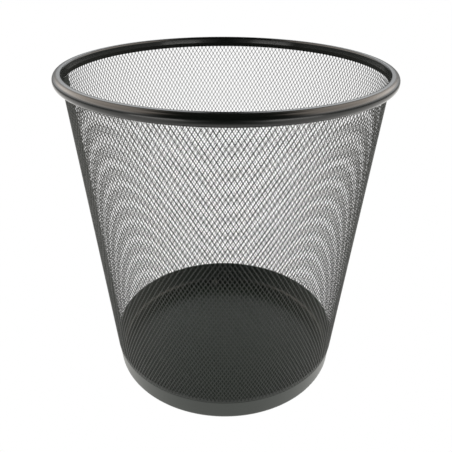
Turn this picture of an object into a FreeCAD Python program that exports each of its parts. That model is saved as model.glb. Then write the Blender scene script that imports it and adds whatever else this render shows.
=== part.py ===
"""Round office wastebasket: a cone of expanded-metal mesh between a hollow steel rim and a pressed base.

Units are millimetres. +Z is up, -Y is the front and the origin is the middle of the resting face.
"""
import FreeCAD, Part
import math
import os
import re
import Sketcher

V = FreeCAD.Vector

# Driving dimensions. Radii are to the outside of a piece and heights are above the resting face.
SIZES = {
    # hollow ring round the mouth, rolled from strip: round outside, nearly flat inside, open below
    "rim_radius": 147.5,
    "rim_width": 8.0,
    "rim_tall": 10.6,
    "rim_middle": 301.8,
    "rim_outer_round": 4.6,
    "rim_lower_round": 4.4,
    "rim_inner_round": 2.2,
    "rim_sheet": 0.3,
    "rim_lip_radius": 139.45,
    "rim_lip_height": 298.8,
    "rim_bend_height": 301.5,
    "rim_bend_round": 3.0,
    "rim_slot_radius": 140.45,
    "rim_slot_height": 297.5,
    # mesh cone, as a closed sheet, which is about three times as heavy as the open mesh
    "wall_top_radius": 140.45,
    "wall_top_height": 303.0,
    "wall_foot_radius": 117.0,
    "wall_foot_height": 22.4,
    "wall_sheet": 0.3,
    # flat strip inside the wall over the ends of the mesh
    "strip_width": 25.0,
    "strip_sheet": 0.5,
    "strip_foot": 27.0,
    "strip_top": 297.9,
    "strip_turn": 186.0,
    # spot welds along the strip
    "weld_radius": 1.6,
    "weld_tall": 0.35,
    # ring outside the foot, with a narrower lap that the mesh slides over
    "band_top_radius": 116.6,
    "band_foot_radius": 114.6,
    "band_tall": 22.1,
    "band_sheet": 0.8,
    "band_round": 4.0,
    "band_flange_radius": 104.0,
    "lap_radius": 116.3,
    "lap_top": 25.3,
    "shoulder_tall": 0.8,
    "shoulder_round": 0.4,
    # dish that is the floor
    "pan_foot_radius": 113.5,
    "pan_top_radius": 114.6,
    "pan_top": 14.0,
    "pan_sheet": 0.7,
    "pan_round": 5.0,
    # raised lug at the back of the floor
    "lug_radius": 6.0,
    "lug_tall": 6.5,
    "lug_from_middle": 106.0,
    "lug_turn": 97.5,
}
WELD_COUNT = 12
NODES = ("mesh_wall", "seam_strip", "seam_welds", "top_rim", "base_pan", "base_band")

doc = FreeCAD.newDocument("Wastebasket")
sheet = doc.addObject("Spreadsheet::Sheet", "Sizes")
for row, (alias, value) in enumerate(SIZES.items(), start=1):
    sheet.set(f"A{row}", alias)
    sheet.set(f"B{row}", str(value))
    sheet.setAlias(f"B{row}", alias)
doc.recompute()


def value_of(text):
    """Number that an expression in the sheet's aliases stands for."""
    return float(sheet.evalExpression(text))


def linked(text):
    """The same expression as another object has to write it."""
    return re.sub(r"[a-z]\w*", r"Sizes.\g<0>", text)


def bind(item, **expressions):
    """Tie properties of an object to expressions in the sheet's aliases."""
    for name, text in expressions.items():
        item.setExpression(name, linked(text))


# ---- profiles and revolved bodies ---------------------------------------------------------------


def origin_feature(body, role):
    return next(item for item in body.Origin.OriginFeatures if item.Role == role)


def side_sketch(body, name):
    """Sketch on the body's XZ plane: its X is the radius and its Y is the height."""
    sketch = body.newObject("Sketcher::SketchObject", name)
    sketch.AttachmentSupport = [(origin_feature(body, "XZ_Plane"), "")]
    sketch.MapMode = "FlatFace"
    return sketch


def constrain(sketch, kind, *references, text=None):
    """Add a constraint. One with text is a dimension, bound to the sheet."""
    if text is None:
        sketch.addConstraint(Sketcher.Constraint(kind, *references))
        return
    index = sketch.addConstraint(Sketcher.Constraint(kind, *references, value_of(text)))
    sketch.setExpression(f"Constraints[{index}]", linked(text))


def place_corner(sketch, radius, height):
    """Construction point at a corner of a profile, dimensioned from the axis and the floor."""
    spot = V(value_of(radius), value_of(height), 0)
    point = sketch.addGeometry(Part.Point(spot), True)
    for kind, text in (("DistanceX", radius), ("DistanceY", height)):
        if value_of(text) == 0:
            axis = -2 if kind == "DistanceX" else -1
            constrain(sketch, "PointOnObject", point, 1, axis)
        else:
            constrain(sketch, kind, -1, 1, point, 1, text=text)
    return point, spot


def add_profile(sketch, corners):
    """Closed outline through corners (radius, height, rounding), as expressions; rounding may be None."""
    points = [place_corner(sketch, radius, height) for radius, height, _ in corners]
    count = len(corners)
    trims = []
    for index, (_, _, rounding) in enumerate(corners):
        before = (points[index - 1][1] - points[index][1]).normalize()
        after = (points[(index + 1) % count][1] - points[index][1]).normalize()
        trim = value_of(rounding) / math.tan(before.getAngle(after) / 2) if rounding else 0.0
        trims.append((before * trim, after * trim))
    lines = []
    for index in range(count):
        following = (index + 1) % count
        start = points[index][1] + trims[index][1]
        end = points[following][1] + trims[following][0]
        lines.append(sketch.addGeometry(Part.LineSegment(start, end), False))
    for index, (_, _, rounding) in enumerate(corners):
        line_in, line_out = lines[index - 1], lines[index]
        point, spot = points[index]
        if rounding is None:
            constrain(sketch, "Coincident", line_in, 2, point, 1)
            constrain(sketch, "Coincident", line_out, 1, point, 1)
            continue
        start, end = spot + trims[index][0], spot + trims[index][1]
        middle_way = (trims[index][0] + trims[index][1]).normalize()
        half_turn = trims[index][0].getAngle(trims[index][1]) / 2
        reach = value_of(rounding) / math.sin(half_turn) - value_of(rounding)
        turns_left = trims[index][0].cross(trims[index][1]).z < 0
        ends = (start, end) if turns_left else (end, start)
        arc = sketch.addGeometry(Part.Arc(ends[0], spot + middle_way * reach, ends[1]), False)
        first, last = (1, 2) if turns_left else (2, 1)
        constrain(sketch, "Tangent", line_in, 2, arc, first)
        constrain(sketch, "Tangent", line_out, 1, arc, last)
        constrain(sketch, "PointOnObject", point, 1, line_in)
        constrain(sketch, "PointOnObject", point, 1, line_out)
        constrain(sketch, "Radius", arc, text=rounding)


def revolved_body(name, corners):
    """Body made by turning a profile once round the Z axis."""
    body = doc.addObject("PartDesign::Body", name)
    body.Label = name
    sketch = side_sketch(body, name + "_section")
    add_profile(sketch, corners)
    doc.recompute()
    turn = body.newObject("PartDesign::Revolution", name + "_turn")
    turn.Profile = sketch
    turn.ReferenceAxis = (sketch, ["V_Axis"])
    turn.Angle = 360.0
    sketch.Visibility = False
    doc.recompute()
    return body


# ---- rim: strip rolled to a hollow ring, with a slot below that the edge of the mesh goes up into ---


def rim_face(inset):
    """One face of the rolled strip: from the inner lip, up and round, to the far edge of the slot."""
    top = f"rim_middle + rim_tall / 2 - {inset}"
    bottom = f"rim_middle - rim_tall / 2 + {inset}"
    outside = f"rim_radius - {inset}"
    return [
        (f"rim_lip_radius + {inset}", "rim_lip_height", None),
        (f"rim_radius - rim_width + {inset}", "rim_bend_height", f"rim_bend_round - {inset}"),
        (f"rim_radius - rim_width + {inset}", top, f"rim_inner_round - {inset}"),
        (outside, top, f"rim_outer_round - {inset}"),
        (outside, bottom, f"rim_lower_round - {inset}"),
        ("rim_slot_radius", f"rim_slot_height + {inset}", None),
    ]


outer_face = rim_face("0")
inner_face = rim_face("rim_sheet")
top_rim = revolved_body("top_rim", outer_face + inner_face[::-1])

# ---- wall: cone of mesh, up into the slot of the rim and down over the lap of the band ------------

mesh_wall = revolved_body("mesh_wall", [
    ("wall_foot_radius", "wall_foot_height", None),
    ("wall_top_radius", "wall_top_height", None),
    ("wall_top_radius - wall_sheet", "wall_top_height", None),
    ("wall_foot_radius - wall_sheet", "wall_foot_height", None),
])

# ---- base: outer band with a lap above and a flange below, and the floor dish inside it -----------

base_band = revolved_body("base_band", [
    ("lap_radius", "lap_top", None),
    ("lap_radius", "band_tall", None),
    ("band_top_radius", "band_tall - shoulder_tall", "shoulder_round"),
    ("band_foot_radius", "0", "band_round"),
    ("band_flange_radius", "0", None),
    ("band_flange_radius", "band_sheet", None),
    ("band_foot_radius - band_sheet", "band_sheet", "band_round - band_sheet"),
    ("band_top_radius - band_sheet", "band_tall - 2 * shoulder_tall", None),
    ("lap_radius - band_sheet", "band_tall - shoulder_tall", None),
    ("lap_radius - band_sheet", "lap_top", None),
])

base_pan = revolved_body("base_pan", [
    ("0", "band_sheet", None),
    ("pan_foot_radius", "band_sheet", "pan_round"),
    ("pan_top_radius", "pan_top", None),
    ("pan_top_radius - pan_sheet", "pan_top", None),
    ("pan_foot_radius - pan_sheet", "band_sheet + pan_sheet", "pan_round - pan_sheet"),
    ("0", "band_sheet + pan_sheet", None),
])
plain_volume = base_pan.Shape.Volume

# Raised lug: half an ellipsoid that stands on the floor, against the dish's wall
lug = base_pan.newObject("PartDesign::AdditiveEllipsoid", "floor_lug")
lug.Angle1 = 0.0
lug.Angle2 = 90.0
bind(lug, Radius1="lug_tall", Radius2="lug_radius", Radius3="lug_radius")
lug.setExpression("Placement.Base.x", "Sizes.lug_from_middle * cos(Sizes.lug_turn * 1 deg)")
lug.setExpression("Placement.Base.y", "Sizes.lug_from_middle * sin(Sizes.lug_turn * 1 deg)")
lug.setExpression("Placement.Base.z", linked("band_sheet + pan_sheet / 2"))
base_pan.Tip = lug
doc.recompute()
if base_pan.Shape.Volume <= plain_volume:
    raise RuntimeError("the lug added nothing to the floor")

# ---- seam: strip of constant width that follows the inside of the cone ----------------------------

SLOPE = "(wall_top_radius - wall_foot_radius) / (wall_top_height - wall_foot_height)"


def cone_radius(height, inset):
    """Expression for the wall's radius at a height, moved in by an inset."""
    return f"wall_foot_radius + ({height} - wall_foot_height) * {SLOPE} - {inset}"


def strip_cone(name, inset):
    """Solid cone from the strip's foot to its top."""
    cone = doc.addObject("Part::Cone", name)
    bind(cone, Radius1=cone_radius("strip_foot", inset), Radius2=cone_radius("strip_top", inset),
         Height="strip_top - strip_foot")
    cone.setExpression("Placement.Base.z", linked("strip_foot"))
    return cone


strip_shell = doc.addObject("Part::Cut", "strip_shell")
strip_shell.Base = strip_cone("strip_outside", "wall_sheet")
strip_shell.Tool = strip_cone("strip_inside", "wall_sheet - strip_sheet")
strip_slab = doc.addObject("Part::Box", "strip_slab")
bind(strip_slab, Length="rim_radius", Width="strip_width", Height="rim_middle")
strip_slab.setExpression("Placement.Rotation.Angle", linked("strip_turn") + " * 1 deg")
strip_slab.setExpression("Placement.Base.x", "Sizes.strip_width / 2 * sin(Sizes.strip_turn * 1 deg)")
strip_slab.setExpression("Placement.Base.y", "-Sizes.strip_width / 2 * cos(Sizes.strip_turn * 1 deg)")
seam_strip = doc.addObject("Part::Common", "seam_strip")
seam_strip.Base = strip_shell
seam_strip.Tool = strip_slab

# Spot welds: shallow round buttons in a row down the middle of the strip
lean = math.atan(value_of(SLOPE))
turn = math.radians(value_of("strip_turn"))
outward = V(math.cos(turn), math.sin(turn), 0)
facing = V(-math.cos(turn) * math.cos(lean), -math.sin(turn) * math.cos(lean), math.sin(lean))
span = value_of("strip_top - strip_foot")
buttons = []
for number in range(WELD_COUNT):
    rise = span * (number + 0.5) / WELD_COUNT
    height = value_of("strip_foot") + rise
    radius = value_of(cone_radius(f"{height}", "wall_sheet - strip_sheet"))
    foot = outward * radius + V(0, 0, height)
    buttons.append(Part.makeCylinder(value_of("weld_radius"), value_of("weld_tall"), foot, facing))
seam_welds = doc.addObject("Part::Feature", "seam_welds")
seam_welds.Shape = Part.makeCompound(buttons)
doc.recompute()

# ---- check everything, then write one file for each piece -----------------------------------------

for item in doc.Objects:
    if "Invalid" in item.State or "Error" in item.State:
        raise RuntimeError(f"{item.Label} did not build: {item.State}")
os.makedirs("parts", exist_ok=True)
for name in NODES:
    shape = doc.getObjectsByLabel(name)[0].Shape
    if shape.isNull() or not shape.isValid() or not shape.Solids:
        raise RuntimeError(f"{name} is not a valid solid")
    shape.exportStep(f"parts/{name}.step")
    box = shape.optimalBoundingBox()
    print(f"{name}: {len(shape.Solids)} solid, {shape.Volume / 1000:.1f} cm3, "
          f"{box.XLength:.1f} wide, height {box.ZMin:.1f} to {box.ZMax:.1f}")
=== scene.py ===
import math

import bpy
import numpy as np
from mathutils import Matrix, Vector


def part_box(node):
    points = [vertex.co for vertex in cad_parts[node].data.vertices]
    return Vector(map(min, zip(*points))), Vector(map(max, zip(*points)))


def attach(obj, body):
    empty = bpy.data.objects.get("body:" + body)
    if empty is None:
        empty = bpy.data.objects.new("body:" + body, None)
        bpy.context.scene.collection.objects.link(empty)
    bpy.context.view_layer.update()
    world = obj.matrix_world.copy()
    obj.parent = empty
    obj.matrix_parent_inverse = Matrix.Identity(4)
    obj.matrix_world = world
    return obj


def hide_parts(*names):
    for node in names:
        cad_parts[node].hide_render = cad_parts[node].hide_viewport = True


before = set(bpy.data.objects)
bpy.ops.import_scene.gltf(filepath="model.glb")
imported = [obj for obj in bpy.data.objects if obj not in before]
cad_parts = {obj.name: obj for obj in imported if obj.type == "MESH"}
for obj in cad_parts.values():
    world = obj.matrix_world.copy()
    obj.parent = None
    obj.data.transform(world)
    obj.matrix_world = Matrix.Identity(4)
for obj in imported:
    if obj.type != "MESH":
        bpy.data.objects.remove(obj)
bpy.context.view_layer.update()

MM = 0.001

# ---- places taken from the frame ------------------------------------------------------------------

RIM_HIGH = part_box("top_rim")[1]
RIM_RADIUS, RIM_TOP = RIM_HIGH.x, RIM_HIGH.z
WALL_LOW, WALL_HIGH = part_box("mesh_wall")
WALL_FOOT, WALL_TOP = WALL_LOW.z, WALL_HIGH.z
WALL_TALL = WALL_TOP - WALL_FOOT
END_DEPTH = 0.2 * MM


def node_radii(node):
    """Largest distance from the Z axis at the foot and at the top of a CAD node."""
    points = np.array([vertex.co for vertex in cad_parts[node].data.vertices])
    reach = np.hypot(points[:, 0], points[:, 1])
    low, high = points[:, 2].min(), points[:, 2].max()
    return reach[points[:, 2] < low + END_DEPTH].max(), reach[points[:, 2] > high - END_DEPTH].max()


WALL_FOOT_RADIUS, WALL_TOP_RADIUS = node_radii("mesh_wall")
WALL_LEAN = math.atan2(WALL_TOP_RADIUS - WALL_FOOT_RADIUS, WALL_TALL)
STRIP_LOW, STRIP_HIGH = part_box("seam_strip")
strip_middle = (STRIP_LOW + STRIP_HIGH) / 2
SEAM_TURN = math.atan2(strip_middle.y, strip_middle.x)

# ---- sizes that only the looks need ---------------------------------------------------------------

# expanded metal: a bond is the small diamond where four strands meet
DIAMONDS_AROUND = 212
ROWS = 43
HALF_ROWS = 2 * ROWS + 1
BOND_HALF_WIDE = 0.19 * MM
BOND_HALF_TALL = 0.58 * MM
BOND_LEAN = -0.08 * MM
STRAND_THICK = 0.34 * MM
STRAND_PARTS = 3
STRAND_SWAY = 0.10
# rows inside the rim's slot and over the band's lap are pressed flat
HIDDEN_TOP = 6.5 * MM
HIDDEN_FOOT = 4.5 * MM
SHEET_THICK = 0.30 * MM
# ripples of the rows: how many go round the wall, where they start, and their share
SHEET_WAVE = 0.35 * MM
RIPPLES = ((3, 0.6, 1.0), (7, 2.1, 0.6))
# pieces round the wall, and where its two ends lie over each other at the seam
SECTORS = 8
SEAM_OVERLAP = 4
SEAM_RAMP = 7
SEAM_LIFT = 1.3 * STRAND_THICK

# section of the rim, measured in from the CAD ring's outside and down from its top
RIM_WIDTH = 8.0 * MM
RIM_TALL = 10.6 * MM
RIM_SHEET = 0.3 * MM
RIM_LIP_REACH = 0.05 * MM
RIM_LIP_DROP = 8.3 * MM
RIM_BEND_DROP = 5.6 * MM
RIM_SLOT_DROP = 9.6 * MM
RIM_BEND_ROUND = 3.0 * MM
RIM_INNER_ROUND = 1.7 * MM
RIM_OUTER_ROUND = 4.6 * MM
RIM_LOWER_ROUND = 4.4 * MM
RIM_SIDES = 360
ARC_PARTS = 8

# ---- mesh helpers ---------------------------------------------------------------------------------


def new_mesh(name, vertices, faces):
    """Object from arrays of points and of faces with four corners, without the points that no face uses."""
    used, faces = np.unique(faces, return_inverse=True)
    vertices = vertices[used]
    faces = faces.reshape(-1, 4)
    mesh = bpy.data.meshes.new(name)
    mesh.vertices.add(len(vertices))
    mesh.vertices.foreach_set("co", vertices.astype(np.float32).ravel())
    mesh.loops.add(faces.size)
    mesh.loops.foreach_set("vertex_index", faces.astype(np.int32).ravel())
    mesh.polygons.add(len(faces))
    mesh.polygons.foreach_set("loop_start", np.arange(0, faces.size, 4, dtype=np.int32))
    mesh.update(calc_edges=True)
    mesh.validate()
    piece = bpy.data.objects.new(name, mesh)
    bpy.context.scene.collection.objects.link(piece)
    return piece


def smooth(piece, angle):
    """Smooth shading, with an edge kept sharp where its faces meet at more than the angle in degrees."""
    piece.data.polygons.foreach_set("use_smooth", [True] * len(piece.data.polygons))
    piece.data.set_sharp_from_angle(angle=math.radians(angle))


def rounded(corners):
    """Points of an open outline whose corners, given as radius, height and rounding, become arcs."""
    points = [Vector(corners[0][:2])]
    for before, corner, after in zip(corners, corners[1:], corners[2:]):
        spot = Vector(corner[:2])
        arriving = (Vector(before[:2]) - spot).normalized()
        leaving = (Vector(after[:2]) - spot).normalized()
        half = arriving.angle(leaving) / 2
        centre = spot + (arriving + leaving).normalized() * corner[2] / math.sin(half)
        start = spot + arriving * corner[2] / math.tan(half) - centre
        end = spot + leaving * corner[2] / math.tan(half) - centre
        sweep = start.angle_signed(end)
        for part in range(ARC_PARTS + 1):
            points.append(centre + Matrix.Rotation(-sweep * part / ARC_PARTS, 2) @ start)
    points.append(Vector(corners[-1][:2]))
    return points


def sheet_section(path, thick):
    """Closed outline of a sheet that lies to the right of the path."""
    inner = []
    for index, point in enumerate(path):
        before, after = path[max(index - 1, 0)], path[min(index + 1, len(path) - 1)]
        along = (after - before).normalized()
        inner.append(point + Vector((along.y, -along.x)) * thick)
    return path + inner[::-1]


def lathe(name, section, sides):
    """Closed outline of radius and height points, turned round the Z axis."""
    outline = np.array([tuple(point) for point in section])
    turn = np.arange(sides) * 2 * math.pi / sides
    x = np.cos(turn)[:, None] * outline[None, :, 0]
    y = np.sin(turn)[:, None] * outline[None, :, 0]
    z = np.broadcast_to(outline[None, :, 1], x.shape)
    places = np.arange(x.size).reshape(x.shape)
    onward = np.roll(places, -1, axis=0)
    faces = np.stack([places, np.roll(places, -1, axis=1), np.roll(onward, -1, axis=1), onward], axis=-1)
    return new_mesh(name, np.stack([x, y, z], axis=-1).reshape(-1, 3), faces.reshape(-1, 4))


# ---- expanded metal -------------------------------------------------------------------------------

RIGHT, TOP, LEFT, BOTTOM = range(4)
# the corners in that order: sideways, up the wall, and which way the corner leans
BOND_CORNERS = (
    (BOND_HALF_WIDE, 0, 0),
    (0, BOND_HALF_TALL, 1),
    (-BOND_HALF_WIDE, 0, 0),
    (0, -BOND_HALF_TALL, -1),
)


def wall_point(turn, rise, tangent, slant, out):
    """Points on the cone: turn and rise place them, the other three are offsets in metres."""
    height = WALL_FOOT + rise * WALL_TALL
    radius = WALL_FOOT_RADIUS + rise * (WALL_TOP_RADIUS - WALL_FOOT_RADIUS)
    reach = radius + slant * math.sin(WALL_LEAN) + out * math.cos(WALL_LEAN)
    up = height + slant * math.cos(WALL_LEAN) - out * math.sin(WALL_LEAN)
    x = reach * np.cos(turn) - tangent * np.sin(turn)
    y = reach * np.sin(turn) + tangent * np.cos(turn)
    return np.stack([x, y, up], axis=-1)


def bond_places(columns, row):
    """Turn, rise and outward lift of the bonds of one half row, for an array of column numbers."""
    turn = SEAM_TURN + (columns + 0.5 * (row % 2)) * 2 * math.pi / DIAMONDS_AROUND
    rise = np.full(turn.shape, row / (HALF_ROWS - 1))
    overlap = np.clip((columns - DIAMONDS_AROUND + SEAM_RAMP) / SEAM_RAMP, 0, 1)
    return turn, rise, overlap * overlap * (3 - 2 * overlap) * SEAM_LIFT


def bond_points(columns):
    """Corners of the bonds, by half row, column, face (outer, then inner) and corner."""
    points = np.zeros((HALF_ROWS, len(columns), 2, 4, 3))
    for row in range(HALF_ROWS):
        turn, rise, lift = bond_places(columns, row)
        height = row / (HALF_ROWS - 1) * WALL_TALL
        hidden = height < HIDDEN_FOOT or height > WALL_TALL - HIDDEN_TOP
        bond_lean = 0 if hidden else BOND_LEAN
        thick = SHEET_THICK if hidden else STRAND_THICK
        ripple = 0
        if 0 < row < HALF_ROWS - 1:
            ripple = SHEET_WAVE * sum(share * np.sin(count * turn + start) for count, start, share in RIPPLES)
        for face, depth in enumerate((0, -thick)):
            for corner, (tangent, slant, way) in enumerate(BOND_CORNERS):
                out = depth + way * bond_lean + lift
                points[row, :, face, corner] = wall_point(turn, rise, tangent, slant + ripple, out)
    return points.reshape(-1, 3)


def mesh_sector(number):
    """One sector of the expanded metal, as a closed surface cut through its strands at both sides."""
    total = DIAMONDS_AROUND + SEAM_OVERLAP
    columns = np.arange(total * number // SECTORS - 1, total * (number + 1) // SECTORS + 1)
    span = len(columns)
    inside = np.arange(1, span - 1)
    bonds = bond_points(columns)
    vertices = [bonds]
    made = len(bonds)
    faces = []

    def place(row, column, face, corner):
        return ((row * span + column) * 2 + face) * 4 + corner

    def ring(row, column, start, end):
        """The four corners round the strand that leaves a bond between two of its corners."""
        return [place(row, column, face, corner)
                for face, corner in ((0, start), (0, end), (1, end), (1, start))]

    def cap(row, column, start, end):
        """Face across the place where a strand meets a bond."""
        faces.append(np.stack([place(row, column, face, corner)
                               for face, corner in ((0, start), (1, start), (1, end), (0, end))], axis=-1))

    def strand(first, last):
        """Four-sided tube from one ring to another, swayed up and down on its way."""
        nonlocal made
        rings = [first]
        for part in range(1, STRAND_PARTS):
            share = part / STRAND_PARTS
            sway = STRAND_SWAY * math.sin(2 * math.pi * share)
            between = []
            for start, end in zip(first, last):
                way = bonds[end] - bonds[start]
                middle = bonds[start] + way * share
                middle[:, 2] -= way[:, 2] * sway
                vertices.append(middle)
                between.append(made + np.arange(len(middle)))
                made += len(middle)
            rings.append(between)
        rings.append(last)
        for below, above in zip(rings, rings[1:]):
            for side in range(4):
                onward = (side + 1) % 4
                faces.append(np.stack([below[side], above[side], above[onward], below[onward]], axis=-1))

    def beyond(column):
        """True for a column of the neighbour, where a strand of this sector ends."""
        return (column < 1) | (column > span - 2)

    for row in range(HALF_ROWS):
        for face, order in ((0, (RIGHT, TOP, LEFT, BOTTOM)), (1, (BOTTOM, LEFT, TOP, RIGHT))):
            faces.append(np.stack([place(row, inside, face, corner) for corner in order], axis=-1))
    for row in range(HALF_ROWS - 1):
        odd = row % 2
        leaning_right = (odd, (RIGHT, TOP), (BOTTOM, LEFT))
        leaning_left = (odd - 1, (TOP, LEFT), (RIGHT, BOTTOM))
        for shift, low_ends, high_ends in (leaning_right, leaning_left):
            upper = inside + shift
            strand(ring(row, inside, *low_ends), ring(row + 1, upper, *high_ends))
            cap(row + 1, upper[beyond(upper)], *high_ends)
            cap(row + 1, inside[beyond(inside - shift)], *high_ends[::-1])
    cap(0, inside, BOTTOM, RIGHT)
    cap(0, inside, LEFT, BOTTOM)
    cap(HALF_ROWS - 1, inside, RIGHT, TOP)
    cap(HALF_ROWS - 1, inside, TOP, LEFT)
    return new_mesh(f"mesh_wall_{number + 1}", np.concatenate(vertices), np.concatenate(faces))


# ---- rim ------------------------------------------------------------------------------------------


def rolled_rim():
    """Hollow ring rolled from strip: from the inner lip up, round, and back to the slot below."""
    inside = RIM_RADIUS - RIM_WIDTH
    path = rounded([
        (inside - RIM_LIP_REACH, RIM_TOP - RIM_LIP_DROP),
        (inside, RIM_TOP - RIM_BEND_DROP, RIM_BEND_ROUND),
        (inside, RIM_TOP, RIM_INNER_ROUND),
        (RIM_RADIUS, RIM_TOP, RIM_OUTER_ROUND),
        (RIM_RADIUS, RIM_TOP - RIM_TALL, RIM_LOWER_ROUND),
        (WALL_TOP_RADIUS, RIM_TOP - RIM_SLOT_DROP),
    ])
    return lathe("rolled_rim", sheet_section(path, RIM_SHEET), RIM_SIDES)


def paint_lip_shade(rim, slot):
    """Give the lip, below the bend and inside the mesh, the material in a numbered slot, which holds painted
    shade for the hollow under the roll.
    """
    for polygon in rim.data.polygons:
        middle = polygon.center
        if middle.z < RIM_TOP - RIM_BEND_DROP and middle.xy.length < WALL_TOP_RADIUS:
            polygon.material_index = slot


# ---- materials ------------------------------------------------------------------------------------

COAT_IOR = 1.5
GRAIN_DEPTH = 0.05 * MM
TONE_SPREAD = 0.2
GLOSS_SPREAD = 0.1


def powder_coat(name, colour, roughness, grain, specular=0.5):
    """Satin powder coat: fine orange peel and slow changes in tone and gloss."""
    material = bpy.data.materials.new(name)
    material.use_nodes = True
    nodes, links = material.node_tree.nodes, material.node_tree.links
    shader = nodes["Principled BSDF"]
    shader.inputs["IOR"].default_value = COAT_IOR
    shader.inputs["Specular IOR Level"].default_value = specular
    place = nodes.new("ShaderNodeTexCoord")

    def noise(scale, detail):
        node = nodes.new("ShaderNodeTexNoise")
        node.inputs["Scale"].default_value = scale
        node.inputs["Detail"].default_value = detail
        links.new(place.outputs["Object"], node.inputs["Vector"])
        return node.outputs["Fac"]

    tone = nodes.new("ShaderNodeMix")
    tone.data_type = "RGBA"
    tone.inputs["A"].default_value = (*[part * (1 - TONE_SPREAD) for part in colour], 1)
    tone.inputs["B"].default_value = (*[part * (1 + TONE_SPREAD) for part in colour], 1)
    links.new(noise(scale=30, detail=4), tone.inputs["Factor"])
    links.new(tone.outputs["Result"], shader.inputs["Base Color"])

    gloss = nodes.new("ShaderNodeMapRange")
    gloss.inputs["To Min"].default_value = roughness * (1 - GLOSS_SPREAD)
    gloss.inputs["To Max"].default_value = roughness * (1 + GLOSS_SPREAD)
    links.new(noise(scale=90, detail=3), gloss.inputs["Value"])
    links.new(gloss.outputs["Result"], shader.inputs["Roughness"])

    peel = nodes.new("ShaderNodeBump")
    peel.inputs["Strength"].default_value = grain
    peel.inputs["Distance"].default_value = GRAIN_DEPTH
    links.new(noise(scale=1400, detail=2), peel.inputs["Height"])
    links.new(peel.outputs["Normal"], shader.inputs["Normal"])
    return material


rim_coat = powder_coat("rim_coat", (0.0038, 0.0054, 0.0047), roughness=0.18, grain=0.02)
# painted shade: the lip is the rim's own strip, given a darker, duller copy of the rim coat to stand for the
# shade in the hollow under the roll
lip_shade_coat = powder_coat("lip_shade_coat", (0.0030, 0.0042, 0.0035), roughness=0.62, grain=0.3, specular=0.12)
mesh_coat = powder_coat("mesh_coat", (0.011, 0.0155, 0.013), roughness=0.33, grain=0.1)
base_coat = powder_coat("base_coat", (0.0165, 0.0245, 0.0200), roughness=0.3, grain=0.1)

# ---- the object's pieces --------------------------------------------------------------------------

for number in range(SECTORS):
    sector = mesh_sector(number)
    smooth(sector, angle=60)
    sector.data.materials.append(mesh_coat)
    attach(sector, "root")
    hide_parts("mesh_wall")

rim = rolled_rim()
smooth(rim, angle=50)
rim.data.materials.append(rim_coat)
rim.data.materials.append(lip_shade_coat)
# painted shade on the lip and inner face below the bend
paint_lip_shade(rim, slot=1)
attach(rim, "root")
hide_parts("top_rim")

CAD_COATS = {
    "base_band": base_coat, "base_pan": base_coat,
    "seam_strip": mesh_coat, "seam_welds": mesh_coat,
}
for node, coat in CAD_COATS.items():
    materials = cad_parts[node].data.materials
    materials.clear()
    materials.append(coat)

# ---- stage: pale floor, walls and softboxes at the sides, a glint at each far corner --------------

# Turn is in radians from straight in front, to either side. Rise is 0 level and 1 straight up.
# A band starts, is full, begins to fade and is gone at its four values.
SIDE_TURNS = (0.6, 1.15, 2.6, 3.1)
WALL_RISES = (-0.25, 0.02, 0.3, 0.6)
SOFTBOX_TURNS = (0.7, 1.2, 2.2, 2.9)
SOFTBOX_RISES = (0.05, 0.38, 0.8, 0.93)
GLINT_TURNS = (2.65, 2.85, 3.02, 3.12)
GLINT_RISES = (0.08, 0.42, 0.55, 0.7)
FAR_CORNER = (2.3, 2.7)
FAR_CORNER_DIM = 0.65
WALL_LIGHT = 1.1
GLINT_LIGHT = 2.4
SOFTBOX_LIGHT = 2.6
ROOM_LIGHT = 0.015
WARM = (1.13, 1.0, 0.88)
NEUTRAL = (1.02, 1.0, 0.97)
COOL = (0.98, 1.0, 1.02)

# Painted light in the floor's glow: brighter beside the object, and darker in front of it, behind it and far
# away.
FLOOR_SIZE = 40
FLOOR_SIDE = (0.15, 0.4)
FLOOR_SIDE_GAIN = 0.35
FLOOR_MIDDLE = (0.5, 0.15)
FLOOR_ALONG = (0.22, 0.7)
FLOOR_MIDDLE_DIM = 0.85
FLOOR_FAR = (0.9, 1.9)
FLOOR_FAR_DIM = 0.75

LOW_LAMP_POWER = 0.5
LOW_LAMP_SIZE = (0.5, 0.12)
LOW_LAMP_PLACE = Vector((0.55, -0.68, 0.15))
LOW_LAMP_AIM = Vector((0, -0.1, 0.3))


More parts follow.
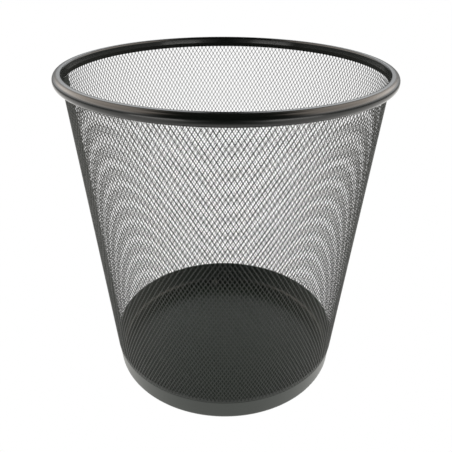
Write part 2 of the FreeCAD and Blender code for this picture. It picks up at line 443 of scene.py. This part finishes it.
class Nodes:
    """Short ways to write the sums of an emission shader."""

    def __init__(self, tree):
        self.nodes, self.links = tree.nodes, tree.links

    def axes(self, source):
        """X, Y and Z of one of the texture coordinates."""
        place = self.nodes.new("ShaderNodeTexCoord")
        split = self.nodes.new("ShaderNodeSeparateXYZ")
        self.links.new(place.outputs[source], split.inputs["Vector"])
        return split.outputs["X"], split.outputs["Y"], split.outputs["Z"]

    def math(self, operation, *values):
        node = self.nodes.new("ShaderNodeMath")
        node.operation = operation
        for socket, value in zip(node.inputs, values):
            if isinstance(value, (int, float)):
                socket.default_value = value
            else:
                self.links.new(value, socket)
        return node.outputs["Value"]

    def step(self, value, start, end):
        """0 before start, 1 after end, and smooth between them; start may be the larger one."""
        node = self.nodes.new("ShaderNodeMapRange")
        node.interpolation_type = "SMOOTHSTEP"
        node.inputs["From Min"].default_value = start
        node.inputs["From Max"].default_value = end
        self.links.new(value, node.inputs["Value"])
        return node.outputs["Result"]

    def product(self, *values):
        result = values[0]
        for value in values[1:]:
            result = self.math("MULTIPLY", result, value)
        return result

    def band(self, value, start, full, fading, gone):
        """1 from full to fading, and 0 before start and after gone."""
        return self.product(self.step(value, start, full), self.step(value, gone, fading))

    def dimmed(self, amount, share):
        """1 where the amount is 0, and less by the share where it is 1."""
        return self.math("SUBTRACT", 1.0, self.math("MULTIPLY", amount, share))

    def tint(self, amount, colour):
        """Grey amount times a colour."""
        node = self.nodes.new("ShaderNodeVectorMath")
        node.operation = "SCALE"
        node.inputs["Vector"].default_value = colour
        self.links.new(amount, node.inputs["Scale"])
        return node.outputs["Vector"]

    def add(self, first, second):
        node = self.nodes.new("ShaderNodeVectorMath")
        self.links.new(first, node.inputs[0])
        self.links.new(second, node.inputs[1])
        return node.outputs["Vector"]

    def shown_white(self, colour):
        """White where it is seen straight on, the colour where it only lights things."""
        sight = self.nodes.new("ShaderNodeLightPath")
        node = self.nodes.new("ShaderNodeMix")
        node.data_type = "VECTOR"
        self.links.new(sight.outputs["Is Camera Ray"], node.inputs["Factor"])
        self.links.new(colour, node.inputs["A"])
        node.inputs["B"].default_value = (1, 1, 1)
        return node.outputs["Result"]


def floor_material():
    """White paper that glows: white where seen straight on, and elsewhere a painted glow as the constants
    above say.
    """
    material = bpy.data.materials.new("paper")
    material.use_nodes = True
    build = Nodes(material.node_tree)
    build.nodes.remove(build.nodes["Principled BSDF"])
    x, y, _ = build.axes("Object")
    aside, along = build.math("ABSOLUTE", x), build.math("ABSOLUTE", y)
    away = build.math("SQRT", build.math("ADD", build.product(x, x), build.product(y, y)))
    side = build.math("MULTIPLY", build.step(aside, *FLOOR_SIDE), FLOOR_SIDE_GAIN)
    middle = build.product(build.step(along, *FLOOR_ALONG), build.step(aside, *FLOOR_MIDDLE))
    amount = build.product(
        build.math("ADD", 1.0, side),
        build.dimmed(middle, FLOOR_MIDDLE_DIM),
        build.dimmed(build.step(away, *FLOOR_FAR), FLOOR_FAR_DIM),
    )
    glow = build.nodes.new("ShaderNodeEmission")
    build.links.new(build.shown_white(build.tint(amount, NEUTRAL)), glow.inputs["Color"])
    build.links.new(glow.outputs["Emission"], build.nodes["Material Output"].inputs["Surface"])
    return material


def studio_world():
    """Walls and softboxes at the sides, glints at the far corners, and dark elsewhere."""
    world = bpy.data.worlds.new("studio")
    bpy.context.scene.world = world
    world.use_nodes = True
    build = Nodes(world.node_tree)
    x, y, rise = build.axes("Generated")
    turn = build.math("ABSOLUTE", build.math("ARCTAN2", x, build.math("MULTIPLY", y, -1.0)))
    sides = build.band(turn, *SIDE_TURNS)
    wall = build.product(
        sides,
        build.dimmed(build.step(turn, *FAR_CORNER), FAR_CORNER_DIM),
        build.band(rise, *WALL_RISES),
    )
    glint = build.product(build.band(turn, *GLINT_TURNS), build.band(rise, *GLINT_RISES))
    softbox = build.product(sides, build.band(turn, *SOFTBOX_TURNS), build.band(rise, *SOFTBOX_RISES))
    cool = build.math("ADD", build.product(wall, WALL_LIGHT), build.product(glint, GLINT_LIGHT))
    warm = build.math("ADD", build.product(softbox, SOFTBOX_LIGHT), ROOM_LIGHT)
    light = build.add(build.tint(cool, COOL), build.tint(warm, WARM))
    build.links.new(build.shown_white(light), build.nodes["Background"].inputs["Color"])


def low_lamp(name, side):
    """Small lamp low in front at one side, which draws a bright line along the rim's widest place."""
    light = bpy.data.lights.new(name, "AREA")
    light.shape = "RECTANGLE"
    light.size, light.size_y = LOW_LAMP_SIZE
    light.energy = LOW_LAMP_POWER
    light.color = NEUTRAL
    lamp = bpy.data.objects.new(name, light)
    lamp.location = LOW_LAMP_PLACE * Vector((side, 1, 1))
    lamp.rotation_euler = (LOW_LAMP_AIM - lamp.location).to_track_quat("-Z", "Y").to_euler()
    lamp.visible_camera = False
    bpy.context.scene.collection.objects.link(lamp)


bpy.ops.mesh.primitive_grid_add(x_subdivisions=8, y_subdivisions=8, size=FLOOR_SIZE)
floor = bpy.context.object
floor.name = "floor"
floor.data.materials.append(floor_material())
studio_world()
low_lamp("low_lamp_left", side=-1)
low_lamp("low_lamp_right", side=1)

# ---- camera ---------------------------------------------------------------------------------------

SENSOR = 36.0
FRAME_SIDE = 452
FOCAL = 532.23
CAMERA_DISTANCE = 533.32 * MM
CAMERA_PITCH = math.radians(27.428)
CAMERA_ROLL = 0.0056
CAMERA_SHIFT = (0.00166, -0.03179)
NEAREST, FARTHEST = 0.01, 100
TARGET = Vector((0, 0, 161.74 * MM))

camera_data = bpy.data.cameras.new("camera")
camera_data.sensor_width = SENSOR
camera_data.lens = FOCAL / FRAME_SIDE * SENSOR
camera_data.shift_x, camera_data.shift_y = CAMERA_SHIFT
camera_data.clip_start, camera_data.clip_end = NEAREST, FARTHEST
camera = bpy.data.objects.new("camera", camera_data)
back = Vector((0, -math.cos(CAMERA_PITCH), math.sin(CAMERA_PITCH)))
place = Matrix.Translation(TARGET + back * CAMERA_DISTANCE)
tilt = Matrix.Rotation(math.pi / 2 - CAMERA_PITCH, 4, "X")
roll = Matrix.Rotation(CAMERA_ROLL, 4, "Z")
camera.matrix_world = place @ tilt @ roll
bpy.context.scene.collection.objects.link(camera)
bpy.context.scene.camera = camera
bpy.context.scene.view_settings.view_transform = "Standard"
